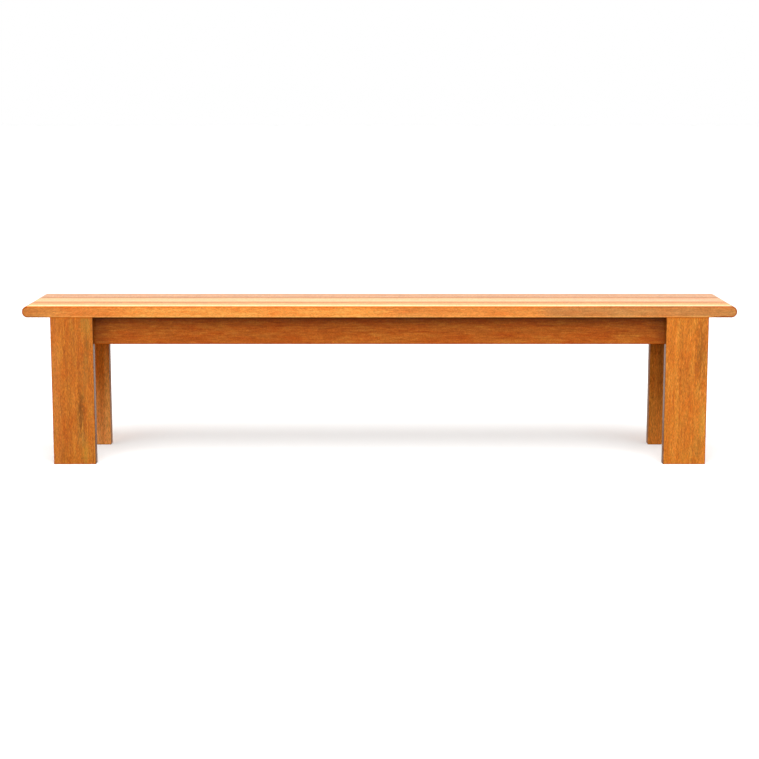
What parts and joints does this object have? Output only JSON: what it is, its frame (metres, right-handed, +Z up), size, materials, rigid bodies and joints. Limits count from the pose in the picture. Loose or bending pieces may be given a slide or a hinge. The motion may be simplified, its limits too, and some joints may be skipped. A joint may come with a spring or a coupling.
{
  "type": "bench",
  "caption": "Long backless wooden bench with a board top, half-round ends, plank legs and a rail apron, for sitting side by side.",
  "frame": {"origin": "on the floor under the middle of the bench", "axes": "+X along the length to the right, +Y to the rear, +Z up"},
  "size_m": [2.032, 0.3302, 0.4572],
  "materials": {
    "top_wood": "satin clear coat",
    "leg_wood": "satin clear coat",
    "rail_wood": "satin clear coat",
    "inner_wood": "sanded, no coat",
    "plated_steel": "zinc plated",
    "brass": "plain turned"
  },
  "bodies": {
    "root": {"top_board_front": "top_wood", "top_board_middle": "top_wood", "top_board_rear": "top_wood", "joint_tongue_front": "inner_wood", "joint_tongue_rear": "inner_wood", "leg_front_left": "leg_wood", "corner_block_front_left": "inner_wood", "leg_front_right": "leg_wood", "corner_block_front_right": "inner_wood", "leg_rear_left": "leg_wood", "corner_block_rear_left": "inner_wood", "leg_rear_right": "leg_wood", "corner_block_rear_right": "inner_wood", "rail_front": "rail_wood", "rail_rear": "rail_wood", "rail_left": "rail_wood", "rail_right": "rail_wood", "bearer_left": "rail_wood", "bearer_right": "rail_wood", "top_buttons": "inner_wood", "button_screws": "plated_steel", "leg_bolts": "plated_steel", "leg_inserts": "brass"}
  },
  "joints": []
}
